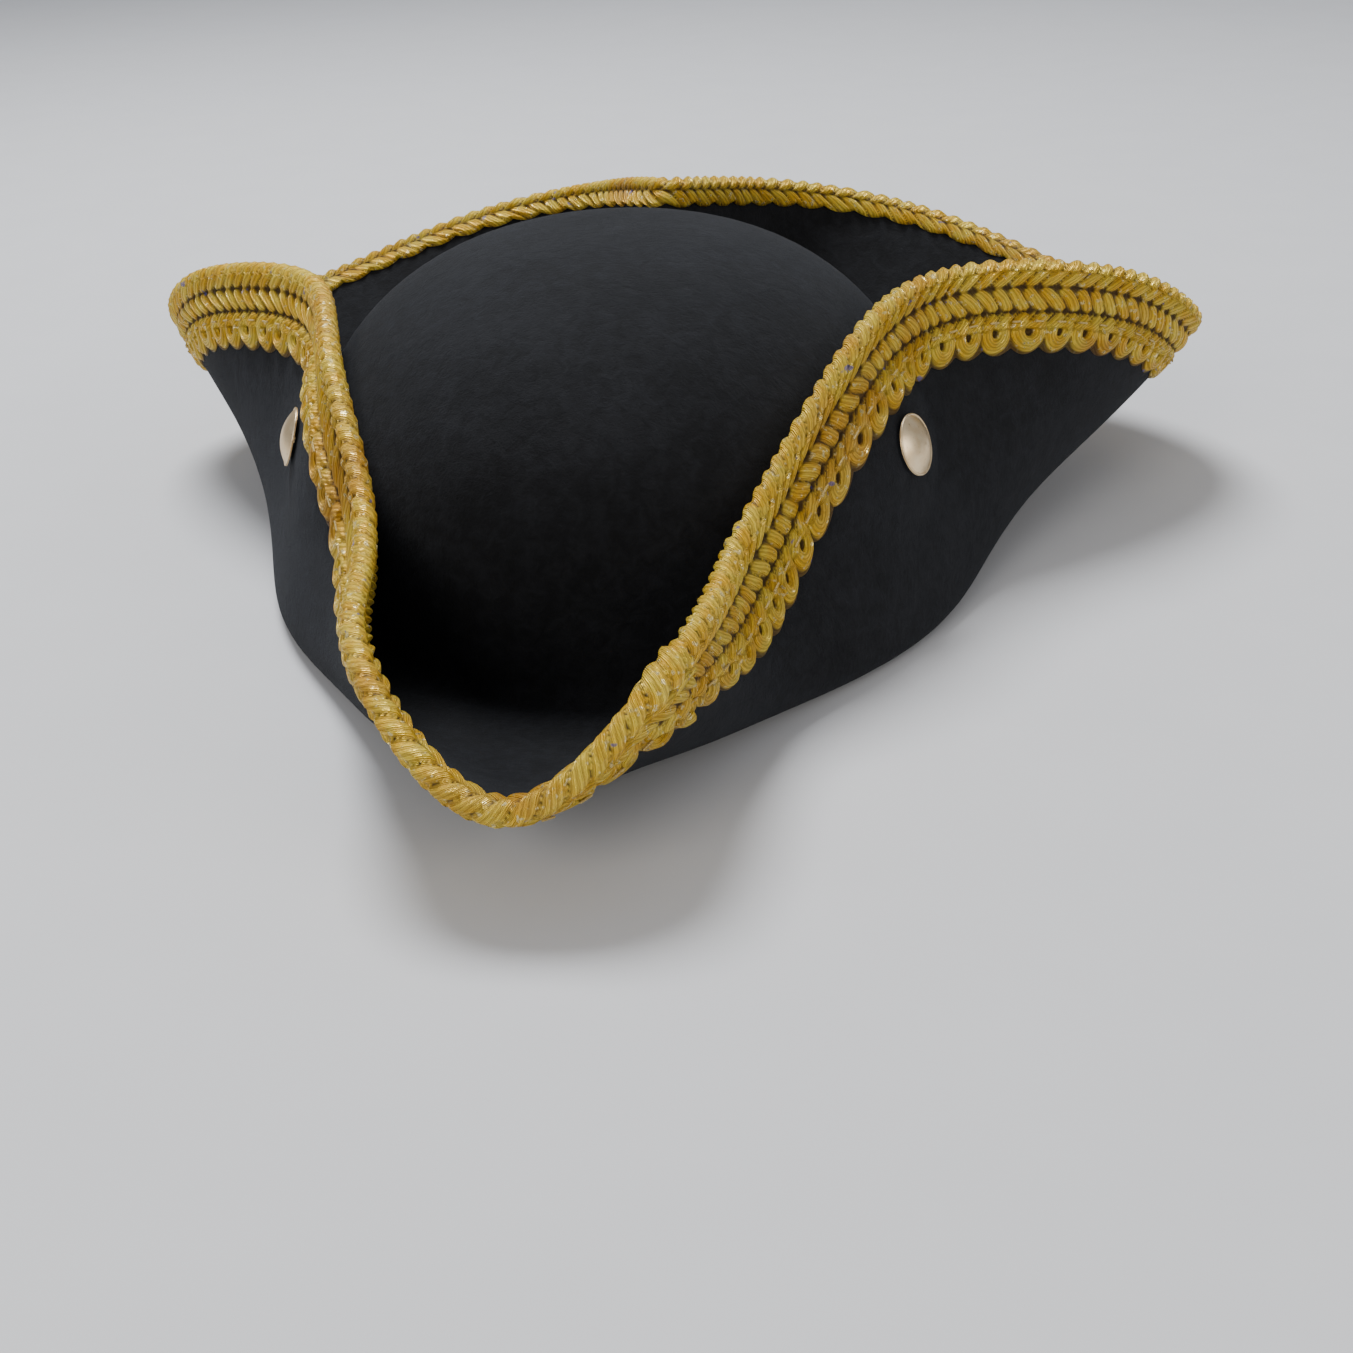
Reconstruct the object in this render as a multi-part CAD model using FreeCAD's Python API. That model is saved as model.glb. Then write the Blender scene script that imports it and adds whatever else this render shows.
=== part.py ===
"""Felt pirate hat (tricorn): blocked felt body, gold braid on the brim edge, sweatband, two split pins.

The origin is the centre of the head opening, on the plane of its lip. -Y is the front tip, +Z is up.
Both sides are alike, but for the sway of the front tip. All sizes are in millimetres.
"""
import FreeCAD, Part
import math
import os
from FreeCAD import Vector

os.makedirs("parts", exist_ok=True)

# ---- driving dimensions -------------------------------------------------------------------------
HEAD_HALF_WIDTH = 92.0      # outside of the crown at its foot, along X
HEAD_HALF_LENGTH = 96.0     # outside of the crown at its foot, along Y
CROWN_HEIGHT = 99.0         # lip plane to the top of the crown
CROWN_FULLNESS = 2.4        # exponent of the crown's side line: 2 is an ellipse, more is boxier
FELT = 3.0                  # thickness of the wool felt
ROOT_RADIUS = 6.0           # radius between crown and brim, on the upper side
BRIM_WIDTH = 100.0          # the brim's stations below are shares of this

BRAID_THICK = 1.3
BRAID_OUTER = 26.0          # how far the braid covers the outside face, from the edge
BRAID_INNER = 7.0           # how far it covers the inside face
BRAID_ROWS = 10             # faces side by side across the braid's outer part
BRAID_FIT = 0.4             # air between braid and felt

BAND_THICK = 0.9
BAND_RISE = 0.5             # the sweatband's lower edge above the foot of the crown
BAND_CLEAR = 1.5            # from its upper edge to the tips of the lower pin legs
BAND_FIT = 0.3              # air between the felt and the sweatband, and round the label

STITCH_RADIUS = 0.28
STITCH_LENGTH = 3.0
STITCH_PITCH = 9.0
STITCH_LIFT = 0.15          # air between a stitch and what it lies on
BRAID_SEAM = 11.5           # stitch line in from the braid's border
BAND_SEAM = 3.0             # stitch line up from the sweatband's lower edge

LABEL_WIDTH = 24.0
LABEL_HEIGHT = 13.0
LABEL_THICK = 0.5
LABEL_DROP = 4.0            # down from the sweatband's upper edge

CAP_RADIUS = 8.2
CAP_RISE = 3.0
CAP_WALL = 0.6
LEG_WIDTH = 5.0
LEG_THICK = 0.6
LEG_LENGTH = 11.0
LEG_SPLAY = 86.0            # degrees between a spread leg and the pin's own axis, at most
LEG_GAP = 0.3               # between the two legs, and round the bend
HOLE_FIT = 0.5              # round the pair of legs in the felt
PIN_FIT = 0.4               # under the cap
PIN_TURN = 61.0             # degrees round the head from the front tip to a pin
CAP_CLEAR = 0.5             # from the braid's border to a cap

# Half of the brim, from the front tip to the middle of the back. At each station: degrees round the
# head where the felt leaves the crown, degrees round the head where its edge is, how far the edge
# stands out past the head oval, how high it stands, how far the felt runs out before it turns up, and
# the slope of the felt at its edge, where 0 is level, 90 is upright and more leans over the crown.
# The three lengths are shares of BRIM_WIDTH.
BRIM_STATIONS = [
    (0, 0, 0.85, 0.27, 0.40, 28),
    (11, 9, 0.71, 0.42, 0.38, 45),
    (34, 25, 0.09, 0.46, 0.20, 88),
    (54, 56, -0.14, 0.75, 0.10, 96),
    (68, 89, -0.08, 0.82, 0.09, 98),
    (83, 104, 0.30, 0.78, 0.10, 84),
    (97, 111, 0.70, 0.65, 0.13, 63),
    (109, 118, 0.96, 0.47, 0.16, 43),
    (128, 136, 1.00, 0.47, 0.19, 37),
    (147, 153, 0.85, 0.64, 0.16, 47),
    (166, 169, 0.48, 0.78, 0.11, 71),
    (180, 180, 0.00, 0.88, 0.08, 68),
]
EDGE_HANDLE = 0.38          # how much of the way in from the edge keeps to the slope at the edge
TIP_SWAY = 9.0              # to the right, for each HEAD_HALF_LENGTH out in front of the crown
LEAN_GAP = 0.4              # air between the crown and the braid where the brim leans on it
WAIST_TURN = 68.0           # where the front lobe meets a rear lobe
COLUMN_STEP = 3.0           # degrees between the lines that the brim is drawn with
ROWS = 24                   # lines across the brim, from the crown to the edge
JOIN_TURN = 12.0            # where the two ends of the braid meet, right of the front tip
JOIN_GAP = 0.2              # degrees between the two ends

CROWN_FOOT = FELT + ROOT_RADIUS
LEAN = LEAN_GAP + BRAID_THICK + BRAID_FIT
BAND_LOW = CROWN_FOOT + BAND_RISE
PIN_DROP = BRAID_OUTER + CAP_RADIUS + CAP_CLEAR
UP = Vector(0, 0, 1)


def save(name, shape):
    shape.exportStep("parts/%s.step" % name)


# ---- the head oval and the crown ----------------------------------------------------------------
def oval_point(turn, z=0.0, inset=0.0):
    """A point of the head oval; turn is degrees round the head from the front tip."""
    a = math.radians(turn)
    return Vector((HEAD_HALF_WIDTH - inset) * math.sin(a), -(HEAD_HALF_LENGTH - inset) * math.cos(a), z)


def oval_normal(turn):
    a = math.radians(turn)
    return Vector(math.sin(a) / HEAD_HALF_WIDTH, -math.cos(a) / HEAD_HALF_LENGTH, 0).normalize()


def oval_radius(turn):
    """Distance from the middle of the head to the oval, in the direction turn."""
    a = math.radians(turn)
    return 1.0 / math.hypot(math.sin(a) / HEAD_HALF_WIDTH, math.cos(a) / HEAD_HALF_LENGTH)


def crown_line(inset, low, high):
    """The crown's side line in the plane Y = 0, moved inwards by inset, from z = low to high."""
    half = HEAD_HALF_WIDTH - inset
    rise = CROWN_HEIGHT - inset - CROWN_FOOT
    steps = 18
    points = []
    for k in range(steps + 1):
        share = math.sin(math.radians(90.0 * k / steps))
        z = low + (high - low) * share
        up = min(max((z - CROWN_FOOT) / rise, 0.0), 1.0)
        points.append(Vector(half * (1.0 - up ** CROWN_FULLNESS) ** (1.0 / CROWN_FULLNESS), 0, z))
    line = Part.BSplineCurve()
    line.interpolate(points)
    return line.toShape()


def crown_layer(outer_inset, inner_inset, low, high=None, width=None):
    """A layer of even thickness that follows the crown, all round or a given width at the back."""
    outer = crown_line(outer_inset, low, high or CROWN_HEIGHT - outer_inset)
    inner = crown_line(inner_inset, low, high or CROWN_HEIGHT - inner_inset)
    ends = [Part.makeLine(outer.valueAt(at(outer)), inner.valueAt(at(inner)))
            for at in (lambda e: e.FirstParameter, lambda e: e.LastParameter)]
    face = Part.Face(Part.Wire(Part.__sortEdges__([outer, inner] + ends)))
    angle = 360.0
    if width is not None:
        angle = math.degrees(width / HEAD_HALF_LENGTH)
        face.rotate(Vector(0, 0, 0), UP, 90.0 - angle / 2)
    solid = face.revolve(Vector(0, 0, 0), UP, angle)
    stretch = FreeCAD.Matrix()
    stretch.scale(1.0, HEAD_HALF_LENGTH / HEAD_HALF_WIDTH, 1.0)
    return solid.transformGeometry(stretch)


def crown_depth(point, inset):
    """Below 1 inside the crown's surface moved inwards by inset, 1 on it, above 1 outside."""
    rise = CROWN_HEIGHT - inset - CROWN_FOOT
    flat = math.hypot(point.x / (HEAD_HALF_WIDTH - inset), point.y / (HEAD_HALF_LENGTH - inset))
    up = max(point.z - CROWN_FOOT, 0.0) / rise
    return flat ** CROWN_FULLNESS + up ** CROWN_FULLNESS


# ---- the brim -----------------------------------------------------------------------------------
def ring_curve(values):
    """A smooth curve through one vector for each station, by degrees, that runs on past 0 and 360."""
    half = list(zip([float(s[0]) for s in BRIM_STATIONS], values))
    ring = half + [(360 - turn, Vector(-p.x, p.y, p.z)) for turn, p in half[-2:0:-1]]
    long = [(turn + lap * 360, p) for lap in (-1, 0, 1) for turn, p in ring]
    curve = Part.BSplineCurve()
    curve.interpolate(Points=[p for _, p in long], Parameters=[turn for turn, _ in long])
    return curve


def edge_stations():
    points = []
    for _, edge_turn, out, up, _, _ in BRIM_STATIONS:
        reach = oval_radius(edge_turn) + out * BRIM_WIDTH
        a = math.radians(edge_turn)
        points.append(Vector(reach * math.sin(a), -reach * math.cos(a), up * BRIM_WIDTH))
    return points


def sway(point):
    """The front tip was shaped by hand and turns a little to the right."""
    ahead = max(-point.y / HEAD_HALF_LENGTH - 1.0, 0.0)
    return point + Vector(TIP_SWAY * ahead, 0, 0)


def bend_stations():
    """Each vector's Y is how far the felt runs out, and its Z the slope; X keeps the vectors apart."""
    return [Vector(oval_point(s[0]).x, s[4] * BRIM_WIDTH, s[5]) for s in BRIM_STATIONS]


EDGE = ring_curve(edge_stations())
BEND = ring_curve(bend_stations())


def upper_line(turn):
    """The upper side of the felt at one place round the head, as points from the crown to the edge.

    A quarter circle leaves the crown, and a Bezier curve goes on from it to the edge.
    """
    out = oval_normal(turn)
    round_head = Vector(-out.y, out.x, 0)
    foot = oval_point(turn)
    points = []
    for angle in (0, 30, 60):
        a = math.radians(angle)
        points.append(foot + out * (ROOT_RADIUS * (1 - math.cos(a)))
                      + UP * (FELT + ROOT_RADIUS * (1 - math.sin(a))))
    start = foot + out * ROOT_RADIUS + UP * FELT
    end = sway(EDGE.value(turn % 360))
    chord = end - start
    shift = chord.dot(round_head) / chord.Length
    bend = BEND.value(turn % 360)
    slope = math.radians(bend.z)
    arrive = (out * math.cos(slope) + UP * math.sin(slope) + round_head * shift).normalize()
    first = start + (out + round_head * (shift * 0.3)).normalize() * bend.y
    second = end - arrive * (chord.Length * EDGE_HANDLE)
    line = Part.BezierCurve()
    line.setPoles([start, first, second, end])
    count = ROWS - len(points)
    return points + [lean_on_crown(line.value(k / (count - 1))) for k in range(count)]


def lean_on_crown(point):
    """Where the felt would go into the crown, it leans on it instead, LEAN away."""
    flat = math.hypot(point.x / (HEAD_HALF_WIDTH + LEAN), point.y / (HEAD_HALF_LENGTH + LEAN))
    up = max(point.z - CROWN_FOOT, 0.0) / (CROWN_HEIGHT + LEAN - CROWN_FOOT)
    room = 1.0 - up ** CROWN_FULLNESS
    if room <= 0:
        return point
    push = max(room ** (1 / CROWN_FULLNESS) / flat, 1.0)
    return Vector(point.x * push, point.y * push, point.z)


def drawing_turns(start, end):
    count = max(int(round((end - start) / COLUMN_STEP)), 2)
    return [start + (end - start) * k / count for k in range(count + 1)]


def line_normals(turn):
    """At each point of upper_line, the direction straight through the felt, pointing outside."""
    step = 0.5
    before = upper_line(turn - step)
    after = upper_line(turn + step)
    here = upper_line(turn)
    normals = []
    for k, point in enumerate(here):
        across = here[min(k + 1, ROWS - 1)] - here[max(k - 1, 0)]
        round_head = after[k] - before[k]
        normals.append(round_head.cross(across).normalize())
    normals[0] = -oval_normal(turn)
    return normals


LINES = {}


def felt_line(turn):
    """Points of the upper side and the outward normals there; worked out once for each turn."""
    key = round(turn % 360, 4)
    if key not in LINES:
        LINES[key] = (upper_line(key), line_normals(key))
    return LINES[key]


def offset_grid(turns, depth):
    """Rows of points at a depth below the upper side: 0 is the upper side, FELT the outside."""
    grid = []
    for turn in turns:
        points, normals = felt_line(turn)
        grid.append([p + n * depth for p, n in zip(points, normals)])
    return grid


def skin(grid):
    surface = Part.BSplineSurface()
    surface.interpolate(grid)
    return surface


def closed_sheet(top, bottom):
    """A solid between two grids of points of the same size."""
    faces = []
    surfaces = [skin(top), skin(bottom)]
    for surface in surfaces:
        faces.append(surface.toShape())
    borders = []
    for surface in surfaces:
        u0, u1, v0, v1 = surface.bounds()
        borders.append([surface.uIso(u0), surface.uIso(u1), surface.vIso(v0), surface.vIso(v1)])
    for first, second in zip(*borders):
        faces.append(Part.makeRuledSurface(first.toShape(), second.toShape(), 1))
    shell = Part.makeShell(faces)
    shell.sewShape()
    solid = Part.Solid(shell)
    if solid.Volume < 0:
        solid.reverse()
    return solid


def brim_lobe(start, end):
    turns = drawing_turns(start, end)
    return closed_sheet(offset_grid(turns, 0.0), offset_grid(turns, FELT))


# ---- run of the braid ---------------------------------------------------------------------------
def walk_in(points, normals, distance):
    """The point and normal at a distance along the felt from its edge."""
    last = len(points) - 1
    line = Part.BSplineCurve()
    line.interpolate(Points=points, Parameters=[float(k) for k in range(last + 1)])
    place = line.parameterAtDistance(-distance, float(last))
    k = min(int(place), last - 1)
    share = place - k
    normal = (normals[k] + (normals[k + 1] - normals[k]) * share).normalize()
    return line.value(place), normal


def braid_section(turn, lift):
    """Points round the folded braid, from its inner border over the edge to its outer border."""
    points, normals = felt_line(turn)
    lower = [p + n * FELT for p, n in zip(points, normals)]
    tip = (points[-1] - points[-2]).normalize()
    section = []
    for share in (1.0, 0.5):
        point, normal = walk_in(points, normals, BRAID_INNER * share)
        section.append(point - normal * lift)
    section.append(points[-1] - normals[-1] * lift + tip * lift)
    section.append(points[-1] + normals[-1] * (FELT + lift) + tip * lift)
    for k in range(1, BRAID_ROWS + 1):
        point, normal = walk_in(lower, normals, BRAID_OUTER * k / BRAID_ROWS)
        section.append(point + normal * lift)
    return section


def braid_turns():
    """The brim's own drawing lines, from just past the join all the way round to it."""
    front = drawing_turns(-WAIST_TURN, WAIST_TURN)
    right = drawing_turns(WAIST_TURN, 180.0)
    left = drawing_turns(180.0, 360.0 - WAIST_TURN)
    after = [turn for turn in front if turn > JOIN_TURN + 1.0]
    before = [turn + 360.0 for turn in front if turn < JOIN_TURN - 1.0]
    return [JOIN_TURN + JOIN_GAP] + after + right[1:] + left[1:] + before[1:] + [JOIN_TURN + 360.0]


def row_curve(points, turns):
    """A smooth curve through points, one for each turn."""
    curve = Part.BSplineCurve()
    curve.interpolate(Points=points, Parameters=turns)
    return curve.toShape()


def gold_braid():
    """One strip all round the brim, of narrow faces side by side; its ends meet right of the front tip."""
    turns = braid_turns()
    loops = []
    for turn in turns:
        outside = braid_section(turn, BRAID_FIT + BRAID_THICK)
        inside = braid_section(turn, BRAID_FIT)
        loops.append(outside + inside[::-1])
    count = len(loops[0])
    rows = [row_curve([loop[k] for loop in loops], turns) for k in range(count)]
    faces = [Part.makeRuledSurface(rows[k - 1], rows[k], 1) for k in range(count)]
    for loop in (loops[0], loops[-1]):
        for k in range(count // 2 - 1):
            near = Part.makeLine(loop[k], loop[k + 1])
            far = Part.makeLine(loop[count - 1 - k], loop[count - 2 - k])
            faces.append(Part.makeRuledSurface(near, far, 1))
    shell = Part.makeShell(faces)
    shell.sewShape()
    solid = Part.Solid(shell)
    if solid.Volume < 0:
        solid.reverse()
    return solid


# ---- stitches -----------------------------------------------------------------------------------
def stitch(point, along):
    start = point - along * (STITCH_LENGTH / 2)
    return Part.makeCylinder(STITCH_RADIUS, STITCH_LENGTH, start, along)


def braid_stitches():
    lift = FELT + BRAID_FIT + BRAID_THICK + STITCH_LIFT + STITCH_RADIUS
    count = int(EDGE.length(0.0, 360.0) / STITCH_PITCH)
    stitches = []
    places = []
    for k in range(count):
        points, normals = felt_line(JOIN_TURN + 360.0 * (k + 0.5) / count)
        lower = [p + n * FELT for p, n in zip(points, normals)]
        point, normal = walk_in(lower, normals, BRAID_OUTER - BRAID_SEAM)
        places.append(point + normal * (lift - FELT))
    for k in range(count):
        along = places[(k + 1) % count] - places[k - 1]
        stitches.append(stitch(places[k], along.normalize()))
    return Part.makeCompound(stitches)


def sweatband_stitches():
    radius = HEAD_HALF_WIDTH - FELT - BAND_FIT - BAND_THICK - STITCH_LIFT - STITCH_RADIUS
    stretch = HEAD_HALF_LENGTH / HEAD_HALF_WIDTH

    def inside_point(turn):
        a = math.radians(turn)
        return Vector(radius * math.sin(a), -radius * stretch * math.cos(a), BAND_LOW + BAND_SEAM)

    count = int(2 * math.pi * radius / STITCH_PITCH)
    stitches = []
    for k in range(count):
        turn = 360.0 * (k + 0.5) / count
        along = inside_point(turn + 1.0) - inside_point(turn - 1.0)
        stitches.append(stitch(inside_point(turn), along.normalize()))
    return Part.makeCompound(stitches)


# ---- sweatband and label ------------------------------------------------------------------------
def sweatband(high):
    outside = FELT + BAND_FIT
    return crown_layer(outside, outside + BAND_THICK, BAND_LOW, high)


def size_label(high):
    """A small blank fabric tab on the inside of the sweatband, at the back."""
    outside = FELT + BAND_FIT + BAND_THICK + BAND_FIT
    return crown_layer(outside, outside + LABEL_THICK, high - LABEL_HEIGHT, high, LABEL_WIDTH)


# ---- split pins ---------------------------------------------------------------------------------
def pin_seat(turn, drop):
    """Where a pin's cap sits on the outside of the felt: the place and the direction outwards."""
    points, normals = felt_line(turn)
    lower = [p + n * FELT for p, n in zip(points, normals)]
    return walk_in(lower, normals, drop)


def pin_reach(seat, outwards):
    """From the seat, through brim and crown, to the inside of the crown."""
    near, far = 0.0, 60.0
    for _ in range(40):
        middle = (near + far) / 2
        if crown_depth(seat - outwards * middle, FELT) > 1.0:
            near = middle
        else:
            far = middle
    return far


def pin_frame(seat, outwards):
    """A placement with Z along the pin outwards and X as level as it can be."""
    level = UP.cross(outwards).normalize()
    return FreeCAD.Placement(seat, FreeCAD.Rotation(level, outwards.cross(level), outwards, "ZXY"))


def pin_cap():
    """A stamped dome with a flat plate under it that holds the legs."""
    def bowl(radius, rise):
        round_radius = (radius ** 2 + rise ** 2) / (2 * rise)
        ball = Part.makeSphere(round_radius, Vector(0, 0, rise - round_radius))
        return ball.common(Part.makeCylinder(radius, rise + 1))
    outer = bowl(CAP_RADIUS, CAP_RISE)
    hollow = bowl(CAP_RADIUS - CAP_WALL, CAP_RISE - CAP_WALL)
    plate = Part.makeCylinder(CAP_RADIUS - 2 * CAP_WALL, CAP_WALL)
    cap = outer.cut(hollow).fuse(plate.common(outer))
    rim = Part.makeTorus(CAP_RADIUS - CAP_WALL / 2, CAP_WALL / 2, Vector(0, 0, CAP_WALL / 2))
    cap = cap.fuse(rim).removeSplitter()
    cap.translate(UP * PIN_FIT)
    return cap


def pin_shank(reach):
    """The straight part of the two legs, from the cap to the bend inside the crown."""
    strips = []
    for side in (-1, 1):
        y = LEG_GAP / 2 if side > 0 else -LEG_GAP / 2 - LEG_THICK
        strips.append(Part.makeBox(LEG_WIDTH, LEG_THICK, reach + PIN_FIT, Vector(-LEG_WIDTH / 2, y, -reach)))
    return Part.makeCompound(strips)


def leg_splay(place, reach, side):
    """How far a leg spreads before it would press into the crown's inside."""
    bend = bend_place(reach, side)
    near, far = 0.0, LEG_SPLAY
    for _ in range(30):
        splay = (near + far) / 2
        a = math.radians(splay)
        clear = True
        for share in (0.3, 0.6, 1.0):
            run = (LEG_LENGTH + LEG_GAP) * share
            point = place.multVec(bend + Vector(0, side * run * math.sin(a), -run * math.cos(a)))
            clear = clear and crown_depth(point, FELT + 2 * LEG_GAP) < 1.0
        if clear:
            near = splay
        else:
            far = splay
    return near


def pin_leg(reach, side, splay):
    """A spread leg: a tapered strip that turns away from the pin's axis at the bend."""
    half = LEG_WIDTH / 2
    tip = LEG_WIDTH / 5
    outline = [Vector(-half, 0, 0), Vector(half, 0, 0), Vector(half, LEG_LENGTH - LEG_WIDTH, 0),
               Vector(tip, LEG_LENGTH, 0), Vector(-tip, LEG_LENGTH, 0),
               Vector(-half, LEG_LENGTH - LEG_WIDTH, 0)]
    strip = Part.Face(Part.makePolygon(outline + outline[:1])).extrude(Vector(0, 0, -LEG_THICK))
    strip.translate(Vector(0, LEG_GAP, 0))
    strip.rotate(Vector(0, 0, 0), Vector(1, 0, 0), splay - 90.0)
    if side < 0:
        strip.rotate(Vector(0, 0, 0), UP, 180)
    strip.translate(bend_place(reach, side))
    return strip


def bend_place(reach, side):
    """The hinge line of a leg runs through this point, along the pin frame's X."""
    return Vector(0, side * (LEG_GAP / 2 + LEG_THICK), -reach - LEG_GAP)


def pin_hole(reach):
    radius = math.hypot(LEG_WIDTH / 2, LEG_GAP / 2 + LEG_THICK) + HOLE_FIT
    return Part.makeCylinder(radius, reach + 8.0, Vector(0, 0, -reach - 4.0))


# ---- build --------------------------------------------------------------------------------------
PINS = {"left": 360.0 - PIN_TURN, "right": PIN_TURN}
LEGS = {"upper": 1, "lower": -1}

crown = crown_layer(0.0, FELT, CROWN_FOOT)
lobes = {
    "brim_front": brim_lobe(-WAIST_TURN, WAIST_TURN),
    "brim_right": brim_lobe(WAIST_TURN, 180.0),
    "brim_left": brim_lobe(180.0, 360.0 - WAIST_TURN),
}

leg_tips = []
for pin, turn in PINS.items():
    seat, outwards = pin_seat(turn, PIN_DROP)
    reach = pin_reach(seat, outwards) + LEG_GAP
    place = pin_frame(seat, outwards)
    hole = pin_hole(reach)
    hole.Placement = place
    crown = crown.cut(hole)
    for lobe in lobes:
        lobes[lobe] = lobes[lobe].cut(hole)
    pieces = {"cap": pin_cap(), "shank": pin_shank(reach)}
    for leg, side in LEGS.items():
        splay = leg_splay(place, reach, side)
        pieces["leg_" + leg] = pin_leg(reach, side, splay)
        hinge = place.multVec(bend_place(reach, side))
        line = place.Rotation.multVec(Vector(1, 0, 0))
        leg_tips.append(hinge.z - LEG_GAP - LEG_LENGTH)
        print("%s_pin %s: hinge %s along %s splay %.2f" % (pin, leg, tuple(hinge), tuple(line), splay))
    for piece, shape in pieces.items():
        shape.Placement = place.multiply(shape.Placement)
        save("%s_pin_%s" % (pin, piece), shape)
    print("%s_pin: seat %s, outwards %s, reach %.3f" % (pin, tuple(seat), tuple(outwards), reach))

save("crown", crown)
for lobe, shape in lobes.items():
    save(lobe, shape)
save("gold_braid", gold_braid())
save("braid_stitches", braid_stitches())
band_high = min(leg_tips) - BAND_CLEAR
save("sweatband", sweatband(band_high))
save("sweatband_stitches", sweatband_stitches())
save("size_label", size_label(band_high - LABEL_DROP))
print("sweatband: from %.2f to %.2f" % (BAND_LOW, band_high))
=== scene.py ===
import math

import bpy
import numpy as np
from mathutils import Matrix, Vector


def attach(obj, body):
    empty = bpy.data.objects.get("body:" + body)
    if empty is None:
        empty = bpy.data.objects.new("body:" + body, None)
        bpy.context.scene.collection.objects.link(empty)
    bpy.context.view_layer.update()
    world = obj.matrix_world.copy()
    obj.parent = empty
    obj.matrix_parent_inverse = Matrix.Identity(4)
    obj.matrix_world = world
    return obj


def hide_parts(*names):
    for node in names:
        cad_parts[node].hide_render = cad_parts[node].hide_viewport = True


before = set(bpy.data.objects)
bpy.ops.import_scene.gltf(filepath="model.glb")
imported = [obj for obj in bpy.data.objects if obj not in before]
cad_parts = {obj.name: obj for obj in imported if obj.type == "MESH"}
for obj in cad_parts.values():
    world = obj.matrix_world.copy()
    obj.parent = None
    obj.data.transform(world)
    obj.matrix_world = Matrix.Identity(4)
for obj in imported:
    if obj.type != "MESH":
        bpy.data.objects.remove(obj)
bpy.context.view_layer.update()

# ---- sizes, in millimetres ------------------------------------------------------------------------
HEAD_HALF_WIDTH = 92.0
HEAD_HALF_LENGTH = 96.0
CROWN_HEIGHT = 99.0
CROWN_FULLNESS = 2.4
FELT = 3.0
ROOT_RADIUS = 6.0
CROWN_FOOT = FELT + ROOT_RADIUS
BRIM_WIDTH = 100.0
LEAN = 1.75                     # air between brim and crown where the brim leans on it
TIP_SWAY = 9.0
EDGE_HANDLE = 0.38

BRAID_OUTSIDE = 23.6            # from the fold to the bottoms of the scallops, outside
BRAID_INSIDE = 6.6              # the same, inside
SCALLOP = 11.6                  # from one scallop to the next
BRAID_JOIN = 12.0               # degrees round the head from the front tip to the braid's ends
BRAID_OVERLAP = 13.0
BRAID_COLUMNS = 1760
BRAID_BASE = 0.2                # thickness of the ground under the braid's strands
BRAID_RELIEF = 1.75             # height of the strands above it
BRAID_LAP = 1.0                 # how far the overlapping end is lifted over the first end
BRAID_UNDERSIDE = 0.06          # air between the braid's back and the felt
BRAID_DIP_INSIDE, BRAID_DIP_OUTSIDE = 1.6, 2.1      # how far the edge draws in between scallops
FOLD_SHARE = 0.35               # share of the fold that counts as distance across the pattern
# Distances across the pattern from the fold: the inner row of strands, then three rows outside.
ROW_INNER_END, ROW_INNER, ROW_ROPE, ROW_LEAF, ROW_CHAIN = -7.5, -1.0, 6.4, 13.2, 18.2
LOOP_MIDDLE, LOOP_RADIUS, LOOP_HALF_WIDTH = 18.8, 3.4, 2.0
HOLE_MIDDLE, HOLE_RADIUS, PINHOLE_RADIUS = 19.2, 1.15, 0.9
BRAID_BACK = (-1, -12, -24, 12, 4, 0)   # rows of its face that its back follows

BAND_LOW, BAND_HIGH = 9.5, 33.4
BAND_FIT = 0.3
BAND_THICK = 0.9
BAND_RIBS = 560.0
LABEL_WIDTH, LABEL_HIGH, LABEL_LOW, LABEL_THICK = 24.0, 29.0, 16.0, 0.5

ROOT_ANGLES = (0, 15, 30, 45, 60, 75)   # degrees round the root, where the brim leaves the crown
SIDE_STEP = 0.4                 # degrees to each side, for the way along the felt
FELT_COLUMNS, FELT_STEPS, DOME_ROWS = 420, 36, 30
BAND_COLUMNS, LABEL_COLUMNS = 360, 25

# ---- the picture, in metres -----------------------------------------------------------------------
LENS, SENSOR = 45.77, 36
CAMERA_PLACE = Matrix((
    (0.98762, -0.03331, 0.15332, 0.0944),
    (0.15086, 0.47027, -0.86954, -0.4629),
    (-0.04313, 0.88190, 0.46947, 0.2097),
    (0, 0, 0, 1)))
LIGHT_AIM = (0, 0, 0.05)
LIGHTS = [                      # name, place, size, power in watts, color
    ("window", (-0.35, 0.55, 1.5), 0.7, 36, (0.95, 0.97, 1.0)),
    ("fill", (-0.5, -1.3, 0.8), 0.8, 9, (1.0, 0.96, 0.9)),
    ("side", (1.2, -0.7, 0.6), 0.8, 6, (1.0, 0.95, 0.88)),
]
SKY_COLOR, SKY_STRENGTH = (0.80, 0.84, 0.92, 1), 0.4
FLOOR_SIZE = 6

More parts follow.
